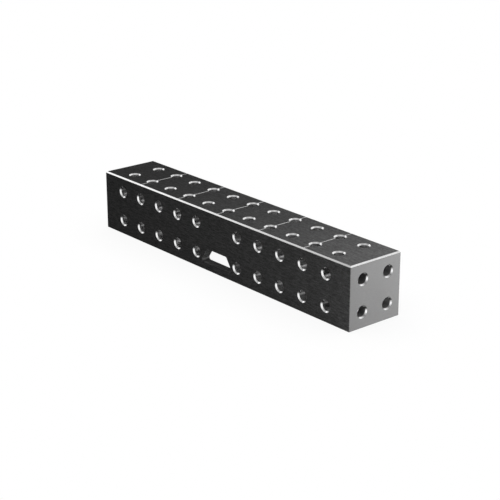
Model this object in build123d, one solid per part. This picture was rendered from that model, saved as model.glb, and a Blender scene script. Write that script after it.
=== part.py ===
from build123d import *
import os
from math import sqrt

# Welding table block: a long hollow steel block, open below, with a grid of clamping bores.
# Millimetres. X runs along the length, the bottom rim stands on Z = 0, and the origin is
# the middle of that rim.

# Body
block_length = 600.0
block_width = 100.0
block_height = 100.0
wall = 15.0
inside_radius = 1.5
top_chamfer = 2.0
edge_break = 0.5

# Clamping bores, on one grid that carries on round the block
bore_diameter = 16.0
bore_chamfer = 2.0
bore_pitch = 50.0

# Hand window in each long side, in place of the middle bores
window_sill = 12.0
window_height = 24.0
window_base = 80.0
window_side_angle = 56.0
window_corner_radius = 4.0

# Scale lines across the top, each a 90 degree V
scale_pitch = 100.0
scale_line_width = 1.0

# Worked out from the sizes above
bore_radius = bore_diameter / 2
bore_columns = int(block_length / bore_pitch) - 1
bore_rows_across = int(block_width / bore_pitch)
bore_rows_up = int(block_height / bore_pitch)
window_reach = window_base / 2 + bore_radius
scale_lines = int(block_length / scale_pitch) - 1
cut_depth = wall + inside_radius

# Outer faces: the Z axis of each points out of the block and its X axis lies level
top_face = Plane((0, 0, block_height))
side_faces = [
    Plane((0, out * block_width / 2, block_height / 2), x_dir=(-out, 0, 0), z_dir=(0, out, 0))
    for out in (-1, 1)
]
end_faces = [
    Plane((out * block_length / 2, 0, block_height / 2), x_dir=(0, out, 0), z_dir=(out, 0, 0))
    for out in (-1, 1)
]

# How a solid is set: standing on the level of the rim, or sunk from the level of a face
on_rim = (Align.CENTER, Align.CENTER, Align.MIN)
from_face = (Align.CENTER, Align.CENTER, Align.MAX)


def outer_body():
    """The solid outside shape, with its top edges chamfered and its other edges broken."""
    body = Box(block_length, block_width, block_height, align=on_rim)
    body = chamfer(body.faces().sort_by(Axis.Z)[-1].edges(), top_chamfer)
    rim = body.faces().sort_by(Axis.Z)[0].edges()
    return chamfer(body.edges().filter_by(Axis.Z) + rim, edge_break)


def cavity():
    """The inside, open at the rim, with its upright corners rounded."""
    inside = Box(
        block_length - 2 * wall, block_width - 2 * wall, block_height - wall, align=on_rim
    )
    return fillet(inside.edges().filter_by(Axis.Z), inside_radius)


def bore():
    """A bore and its chamfered mouth, cut down from the level of a face."""
    hole = Cylinder(bore_radius, cut_depth, align=from_face)
    mouth = Cone(bore_radius, bore_radius + bore_chamfer, bore_chamfer, align=from_face)
    return hole + mouth


def window():
    """A hand window with its sill on the X axis, wider at the sill than at its top."""
    outline = Trapezoid(
        window_base, window_height, window_side_angle, align=(Align.CENTER, Align.MIN)
    )
    outline = fillet(outline.vertices(), window_corner_radius)
    return extrude(outline, -cut_depth)


def scale_line():
    """A bar turned on edge, which leaves a V across the top when it is cut away."""
    bar = scale_line_width / sqrt(2)
    return Rot(0, 45, 0) * Box(bar, block_width, bar)


top_bores = GridLocations(bore_pitch, bore_pitch, bore_columns, bore_rows_across)
end_bores = GridLocations(bore_pitch, bore_pitch, bore_rows_across, bore_rows_up)
side_bores = [
    place
    for place in GridLocations(bore_pitch, bore_pitch, bore_columns, bore_rows_up)
    if abs(place.position.X) > window_reach
]

cuts = [top_face * place * bore() for place in top_bores]
cuts += [top_face * place * scale_line() for place in GridLocations(scale_pitch, 0, scale_lines, 1)]
for face in side_faces:
    cuts += [face * place * bore() for place in side_bores]
    cuts.append(face * Pos(0, window_sill - block_height / 2) * window())
for face in end_faces:
    cuts += [face * place * bore() for place in end_bores]

block = outer_body() - cavity() - cuts

os.makedirs("parts", exist_ok=True)
export_step(block, "parts/block.step")
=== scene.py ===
from math import cos, pi, radians, sin

import bmesh
import bpy
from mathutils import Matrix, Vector


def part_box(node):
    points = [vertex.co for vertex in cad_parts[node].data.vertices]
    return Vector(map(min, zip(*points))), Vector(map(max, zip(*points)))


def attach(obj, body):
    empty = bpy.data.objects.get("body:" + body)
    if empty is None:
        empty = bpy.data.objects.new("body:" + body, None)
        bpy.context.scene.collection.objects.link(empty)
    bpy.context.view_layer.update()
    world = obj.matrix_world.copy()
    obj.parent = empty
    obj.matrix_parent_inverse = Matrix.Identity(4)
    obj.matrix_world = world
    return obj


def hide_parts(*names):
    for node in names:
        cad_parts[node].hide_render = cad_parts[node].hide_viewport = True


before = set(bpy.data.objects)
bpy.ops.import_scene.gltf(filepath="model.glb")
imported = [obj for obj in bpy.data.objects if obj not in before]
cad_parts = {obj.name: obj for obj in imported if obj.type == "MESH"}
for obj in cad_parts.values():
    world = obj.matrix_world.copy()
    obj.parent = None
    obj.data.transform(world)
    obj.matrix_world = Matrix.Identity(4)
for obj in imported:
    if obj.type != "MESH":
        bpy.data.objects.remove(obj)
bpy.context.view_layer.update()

MM = 0.001

# Camera: the photograph's viewing angle, and where its picture centre lies on the object
CAMERA_AZIMUTH = 49.97
CAMERA_ELEVATION = 20.05
CAMERA_DISTANCE = 2.213
CAMERA_LENS = 100.7
VIEW_CENTRE_RIGHT = 0.01426
VIEW_CENTRE_UP = -0.0195
CAMERA_REACH = 100.0

# Lamps for the dull surfaces: name, azimuth, elevation, distance, diameter and level. At
# level 1 a white card in the middle of the block, facing the lamp, looks white. Bare metal
# reflects the room instead.
LAMPS = [
    ("end_key", 125, 3, 0.75, 0.4, 0.89),
    ("high_key", 95, 30, 0.75, 0.4, 0.39),
    ("top_key", 100, 60, 0.75, 0.4, 0.04),
    ("grazing_key", 85, 3, 1.0, 0.2, 0.22),
    ("low_key", 70, 3, 1.2, 0.2, 0.067),
    ("front_panel", 0, 20, 1.2, 0.4, 0.05),
    ("left_fill", 262, 3, 1.2, 0.6, 0.08),
]
# The world: its level as light on dull surfaces, and the room that bare metal reflects,
# with bright walls and a dimmer ceiling. The heights are sines of the elevation.
WORLD_LEVEL = 0.01
ROOM_WALL_LEVEL = 1.0
ROOM_CEILING_LEVEL = 0.49
ROOM_WALL_TOP = 0.54
ROOM_CEILING_FOOT = 0.63
# Brighter and dimmer patches of the room: name, azimuth, elevation, the angles from its
# middle within which it is full and beyond which it is gone, and the change as a share
ROOM_PATCHES = [
    ("dim_side", 70, 37, 12, 37, -0.65),
    ("dim_back", 235, 5, 15, 45, -0.5),
    ("dim_left_ceiling", 311, 47, 8, 18, -0.25),
    ("bright_left", 287, 33, 8, 20, 0.25),
    ("bright_back", 153, 49, 5, 13, 1.0),
    ("bright_top", 50, 75, 12, 28, 0.25),
]

# The floor: a mid grey as light falls back from it, but seen as the white of the world
FLOOR_COLOUR = (0.4, 0.4, 0.4, 1.0)
FLOOR_RADIUS = 12.0
FLOOR_SEGMENTS = 96
# The block's shadow on the floor: how far it reaches, how open the floor is at its foot and
# at its end, and its level
SHADOW_REACH = 0.12
SHADOW_FOOT_OPEN = 0.55
SHADOW_END_OPEN = 0.95
SHADOW_LEVEL = 0.95
# Painted shade on the floor as bare metal reflects it: white at a shallow angle only, and nearly
# black where a ray meets it steeply. Angles are 1 minus the sine of the angle at which a ray
# meets the floor.
STEEP_ANGLE = 0.22
SHALLOW_ANGLE = 0.62
STEEP_LEVEL = 0.02
# Bare metal reflects the floor dimmer under the block, where the floor is hardly open.
UNDER_OPEN = 0.2
UNDER_LEVEL = 0.35

# The dark ground faces: their tone, and an index so low that they barely mirror
GROUND_TONE = 0.15
GROUND_ROUGHNESS = 0.5
GROUND_IOR = 1.05
# The walls inside
INSIDE_TONE = 0.25
INSIDE_ROUGHNESS = 0.6
INSIDE_IOR = 1.2
# Bare steel: its tone, its index, and how it darkens where it is seen at a low angle
BARE_TONE = 0.95
BARE_IOR = 1.5
EDGE_TINT = (0.8, 0.8, 0.8, 1.0)
MACHINED_ROUGHNESS = 0.2
SCALE_ROUGHNESS = 0.22
# The walls of the bores in the ends, the long sides and the top, and the windows' edges. The
# bores' tones differ by side as painted light and shade: the end bores are darker and less
# metallic, and the bores in the long sides and the top are lighter.
END_BORE_TONE_WITH_PAINTED_SHADE = 0.3
END_BORE_METALLIC = 0.8
SIDE_BORE_TONE_WITH_PAINTED_LIGHT = 0.76
TOP_BORE_TONE_WITH_PAINTED_LIGHT = 0.7
BORE_ROUGHNESS = 0.32
WINDOW_TONE = 0.4
WINDOW_METALLIC = 0.7
WINDOW_ROUGHNESS = 0.45

# The noise texture: nearly all of its values lie between the first two
NOISE_LOW = 0.3
NOISE_HIGH = 0.7
NOISE_DETAIL = 3.0

# How far from the outer faces the chamfers, the edge breaks and the walls reach, how far from
# the middle the windows do, and how close to a face's plane its own facets lie
CHAMFER = 2.1 * MM
EDGE_BREAK = 0.6 * MM
WALL = 14.9 * MM
WINDOW_REACH = 45 * MM
ON_FACE = 0.01 * MM
# The part of a facet's normal that lies along an axis: between the first two on a chamfer,
# and under the last where the facet runs along that axis
LEAN_LEAST = 0.3
LEAN_MOST = 0.95
SQUARE = 0.01


def direction(azimuth, elevation):
    """The way from the block to something at that azimuth and elevation, in degrees."""
    a, e = radians(azimuth), radians(elevation)
    return Vector((sin(a) * cos(e), -cos(a) * cos(e), sin(e)))


def show(name, data):
    """A new object in the scene."""
    thing = bpy.data.objects.new(name, data)
    bpy.context.scene.collection.objects.link(thing)
    return thing


# Materials


def add(tree, kind, inputs=(), **settings):
    """A shader node with its settings, and each of its inputs set or linked."""
    node = tree.nodes.new("ShaderNode" + kind)
    for name, value in settings.items():
        setattr(node, name, value)
    for socket, value in dict(inputs).items():
        if isinstance(value, bpy.types.NodeSocket):
            tree.links.new(value, node.inputs[socket])
        else:
            node.inputs[socket].default_value = value
    return node


def spread(tree, value, low, high, start=0.0, end=1.0):
    """A value that runs from start to end, spread from low to high."""
    sockets = {"Value": value, "From Min": start, "From Max": end, "To Min": low, "To Max": high}
    return add(tree, "MapRange", sockets).outputs[0]


def noise(tree, size):
    """Noise from 0 to 1 whose marks are about size = (x, y, z) millimetres long."""
    place = add(tree, "TexCoord").outputs["Object"]
    scale = [1 / (length * MM) for length in size]
    stretched = add(tree, "Mapping", {"Vector": place, "Scale": scale}).outputs[0]
    grain = add(tree, "TexNoise", {"Vector": stretched, "Scale": 1.0, "Detail": NOISE_DETAIL})
    return spread(tree, grain.outputs["Fac"], 0.0, 1.0, NOISE_LOW, NOISE_HIGH)


def join(tree, values, operation):
    """Several values made into one by a math operation."""
    total = values[0]
    for value in values[1:]:
        total = add(tree, "Math", {0: total, 1: value}, operation=operation).outputs[0]
    return total


def steel(name, marks, tone, roughness, ior, metallic):
    """Steel with marks worked into it. Each mark is its size (x, y, z) in millimetres, the
    share by which it changes the tone, how much it changes the roughness, and its depth in
    millimetres."""
    material = bpy.data.materials.new(name)
    material.use_nodes = True
    tree = material.node_tree
    shader = tree.nodes["Principled BSDF"]
    shader.inputs["Metallic"].default_value = metallic
    shader.inputs["IOR"].default_value = ior
    shader.inputs["Specular Tint"].default_value = EDGE_TINT
    tones, roughnesses, heights = [], [], []
    for size, tone_share, roughness_change, depth in marks:
        mark = noise(tree, size)
        tones.append(spread(tree, mark, 1 - tone_share, 1 + tone_share))
        roughnesses.append(spread(tree, mark, roughness_change, -roughness_change))
        heights.append(spread(tree, mark, 0.0, depth * MM))
    level = join(tree, tones, "MULTIPLY")
    grey = (tone, tone, tone)
    colour = add(tree, "VectorMath", {0: grey, "Scale": level}, operation="SCALE").outputs[0]
    rough = add(tree, "Math", {0: join(tree, roughnesses, "ADD"), 1: roughness}, operation="ADD")
    height = join(tree, heights, "ADD")
    bump = add(tree, "Bump", {"Height": height, "Distance": 1.0, "Strength": 1.0}).outputs[0]
    tree.links.new(colour, shader.inputs["Base Color"])
    tree.links.new(rough.outputs[0], shader.inputs["Roughness"])
    tree.links.new(bump, shader.inputs["Normal"])
    return material


def along(axis, length, across):
    """The size of a mark that is length long on one axis and across on the others."""
    size = [across] * 3
    size["xyz".index(axis)] = length
    return size


def ground_steel(name, marks):
    """The dark steel of the ground faces."""
    return steel(name, marks, GROUND_TONE, GROUND_ROUGHNESS, GROUND_IOR, metallic=0.0)


def side_steel():
    """The long sides: dark, with short grinding marks along the block and a fine speckle."""
    marks = [
        (along("x", 11.0, 1.8), 0.32, 0.025, 0.0012),
        ((2.2, 2.2, 2.2), 0.22, 0.02, 0.0008),
        (along("x", 5.0, 0.3), 0.14, 0.025, 0.0012),
        ((60.0, 60.0, 60.0), 0.04, 0.01, 0.0),
    ]
    return ground_steel("side_steel", marks)


def top_steel():
    """The top: as dark, and ground finer."""
    marks = [
        (along("x", 20.0, 2.5), 0.2, 0.02, 0.0006),
        ((3.0, 3.0, 3.0), 0.24, 0.02, 0.0004),
        (along("x", 5.0, 0.3), 0.14, 0.025, 0.001),
        ((60.0, 60.0, 60.0), 0.03, 0.01, 0.0),
    ]
    return ground_steel("top_steel", marks)


def end_steel():
    """The ends: as dark, with a finer and fainter grain."""
    marks = [
        (along("y", 30.0, 1.5), 0.02, 0.015, 0.0004),
        (along("y", 5.0, 0.3), 0.08, 0.025, 0.0008),
        ((40.0, 40.0, 40.0), 0.02, 0.01, 0.0),
    ]
    return ground_steel("end_steel", marks)


def machined_steel():
    """Chamfers and bore mouths: bare and bright, with fine tool marks."""
    marks = [
        ((12.0, 12.0, 12.0), 0.05, 0.015, 0.0),
        ((0.4, 0.4, 0.4), 0.05, 0.015, 0.0004),
    ]
    return steel(
        "machined_steel", marks, BARE_TONE, MACHINED_ROUGHNESS, BARE_IOR, metallic=1.0
    )


def scale_steel():
    """The scale lines: as bright, with marks along the cut."""
    marks = [
        (along("y", 6.0, 0.5), 0.06, 0.03, 0.0005),
        ((20.0, 20.0, 20.0), 0.05, 0.02, 0.0),
    ]
    return steel("scale_steel", marks, BARE_TONE, SCALE_ROUGHNESS, BARE_IOR, metallic=1.0)


def bored_steel(axis, tone, metallic):
    """The wall of a bore on that axis, with broad honing lines along it."""
    marks = [
        (along(axis, 40.0, 3.0), 0.12, 0.04, 0.001),
        ((5.0, 5.0, 5.0), 0.06, 0.02, 0.0),
    ]
    return steel("bored_steel_" + axis, marks, tone, BORE_ROUGHNESS, BARE_IOR, metallic)


def window_steel():
    """The edges of the hand windows: cut lines run through the wall."""
    marks = [
        (along("y", 40.0, 3.0), 0.5, 0.05, 0.004),
        ((6.0, 6.0, 6.0), 0.06, 0.02, 0.0),
    ]
    return steel(
        "window_steel", marks, WINDOW_TONE, WINDOW_ROUGHNESS, BARE_IOR, WINDOW_METALLIC
    )


def inside_steel():
    """The walls inside: duller, with coarse tool lines along them."""
    marks = [
        ((70.0, 70.0, 3.0), 0.12, 0.03, 0.004),
        ((3.0, 3.0, 3.0), 0.12, 0.025, 0.002),
    ]
    return steel(
        "inside_steel", marks, INSIDE_TONE, INSIDE_ROUGHNESS, INSIDE_IOR, metallic=0.0
    )


def seen_or_reflected(tree):
    """1 for what is seen, also by way of a reflection or through glass, else 0."""
    rays = add(tree, "LightPath").outputs
    kinds = ["Is Camera Ray", "Is Glossy Ray", "Is Transmission Ray"]
    return join(tree, [rays[kind] for kind in kinds], "MAXIMUM")


def floor_white():
    """Dull and grey to the lamps, but seen as plain white, with a painted shadow close to the
    block, and mirrored in bare metal with painted shade where a ray meets it steeply or where it
    lies under the block."""
    material = bpy.data.materials.new("floor_white")
    material.use_nodes = True
    tree = material.node_tree
    tree.nodes.clear()
    openness = add(tree, "AmbientOcclusion", {"Distance": SHADOW_REACH}).outputs["AO"]
    seen = spread(tree, openness, SHADOW_LEVEL, 1.0, SHADOW_FOOT_OPEN, SHADOW_END_OPEN)
    low_angle = add(tree, "LayerWeight", {"Blend": 0.5}).outputs["Facing"]
    # Painted shade: the floor as bare metal mirrors it goes nearly black where a ray meets it
    # steeply
    painted_steep_shade = spread(tree, low_angle, STEEP_LEVEL, 1.0, STEEP_ANGLE, SHALLOW_ANGLE)
    lit = spread(tree, openness, UNDER_LEVEL, 1.0, UNDER_OPEN, SHADOW_FOOT_OPEN)
    mirrored = join(tree, [painted_steep_shade, lit], "MULTIPLY")
    reflected = add(tree, "LightPath").outputs["Is Glossy Ray"]
    white = add(tree, "Emission", {"Strength": spread(tree, reflected, seen, mirrored)})
    dull = add(tree, "BsdfDiffuse", {"Color": FLOOR_COLOUR})
    mix = add(
        tree, "MixShader", {0: seen_or_reflected(tree), 1: dull.outputs[0], 2: white.outputs[0]}
    )
    add(tree, "OutputMaterial", {"Surface": mix.outputs[0]})
    return material


# The block


FINISHES = {
    "side": side_steel(),
    "top": top_steel(),
    "end": end_steel(),
    "machined": machined_steel(),
    "scale": scale_steel(),
    # The bores' tones per side are painted shade in the ends and painted light in the long sides
    # and the top
    "bored_x": bored_steel("x", END_BORE_TONE_WITH_PAINTED_SHADE, END_BORE_METALLIC),
    "bored_y": bored_steel("y", SIDE_BORE_TONE_WITH_PAINTED_LIGHT, 1.0),
    "bored_z": bored_steel("z", TOP_BORE_TONE_WITH_PAINTED_LIGHT, 1.0),
    "window": window_steel(),
    "inside": inside_steel(),
}


def finish_of(centre, normal, low, high):
    """The finish of one facet, told by where it lies and which way it faces."""
    depths = [
        min(centre.x - low.x, high.x - centre.x),
        min(centre.y - low.y, high.y - centre.y),
        high.z - centre.z,
    ]
    nearest = depths.index(min(depths))
    depth = depths[nearest]
    leans = [abs(part) for part in normal]
    if centre.z - low.z < EDGE_BREAK or max(depths[0], depths[1]) < EDGE_BREAK:
        return "side"
    if depth < ON_FACE:
        return ["end", "side", "top"][nearest]
    if any(d < CHAMFER and LEAN_LEAST < n < LEAN_MOST for d, n in zip(depths, leans)):
        in_groove = nearest == 2 and leans[1] < SQUARE and depths[0] > CHAMFER
        return "scale" if in_groove else "machined"
    if depth > WALL:
        return "inside"
    if nearest == 1 and abs(centre.x) < WINDOW_REACH:
        return "window"
    return "bored_" + "xyz"[nearest]


def make_block():
    """The block again, with each surface in its own finish."""
    low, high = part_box("block")
    block = show("finished_block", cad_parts["block"].data.copy())
    block.data.materials.clear()
    for material in FINISHES.values():
        block.data.materials.append(material)
    names = list(FINISHES)
    for facet in block.data.polygons:
        facet.material_index = names.index(finish_of(facet.center, facet.normal, low, high))
    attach(block, "root")
    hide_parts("block")


# The studio


def make_floor():
    """A round floor, which reaches far past the picture."""
    mesh = bmesh.new()
    bmesh.ops.create_circle(mesh, cap_ends=True, segments=FLOOR_SEGMENTS, radius=FLOOR_RADIUS)
    data = bpy.data.meshes.new("floor")
    mesh.to_mesh(data)
    mesh.free()
    data.materials.append(floor_white())
    show("floor", data)


def make_lamp(name, middle, azimuth, elevation, distance, diameter, level):
    """A round lamp that faces the block and is itself neither seen nor reflected."""
    light = bpy.data.lights.new(name, "AREA")
    light.shape = "DISK"
    light.size = diameter
    light.energy = level * (pi * distance) ** 2
    lamp = show(name, light)
    away = direction(azimuth, elevation)
    lamp.location = middle + away * distance
    lamp.rotation_euler = away.to_track_quat("Z", "Y").to_euler()
    lamp.visible_camera = False
    lamp.visible_glossy = False


def room_level(tree):
    """How bright the room is each way, as bare metal reflects it."""
    way = add(tree, "TexCoord").outputs["Generated"]
    height = add(tree, "SeparateXYZ", {"Vector": way}).outputs["Z"]
    walls = spread(
        tree, height, ROOM_WALL_LEVEL, ROOM_CEILING_LEVEL, ROOM_WALL_TOP, ROOM_CEILING_FOOT
    )
    levels = [walls]
    for _, azimuth, elevation, full, gone, change in ROOM_PATCHES:
        sockets = {0: way, 1: direction(azimuth, elevation)}
        near = add(tree, "VectorMath", sockets, operation="DOT_PRODUCT").outputs["Value"]
        edge, middle = cos(radians(gone)), cos(radians(full))
        levels.append(spread(tree, near, 1.0, 1 + change, edge, middle))
    return join(tree, levels, "MULTIPLY")


def make_world():
    """Nearly dark to dull surfaces, white where it is seen, and the room in bare metal."""
    world = bpy.data.worlds.new("world")
    world.use_nodes = True
    tree = world.node_tree
    reflected = add(tree, "LightPath").outputs["Is Glossy Ray"]
    white_or_room = spread(tree, reflected, 1.0, room_level(tree))
    level = spread(tree, seen_or_reflected(tree), WORLD_LEVEL, white_or_room)
    background = tree.nodes["Background"]
    background.inputs["Color"].default_value = (1, 1, 1, 1)
    tree.links.new(level, background.inputs["Strength"])
    bpy.context.scene.world = world


def make_camera(middle):
    """The photograph's camera."""
    back = direction(CAMERA_AZIMUTH, CAMERA_ELEVATION)
    right = Vector((0, 0, 1)).cross(back).normalized()
    up = back.cross(right)
    camera = show("camera", bpy.data.cameras.new("camera"))
    camera.location = (
        middle + right * VIEW_CENTRE_RIGHT + up * VIEW_CENTRE_UP + back * CAMERA_DISTANCE
    )
    camera.rotation_euler = back.to_track_quat("Z", "Y").to_euler()
    camera.data.lens = CAMERA_LENS
    camera.data.clip_end = CAMERA_REACH
    bpy.context.scene.camera = camera


make_block()
make_floor()
block_low, block_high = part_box("block")
block_middle = (block_low + block_high) / 2
for name, *placing in LAMPS:
    make_lamp(name, block_middle, *placing)
make_world()
make_camera(block_middle)

bpy.context.scene.view_settings.view_transform = "Standard"
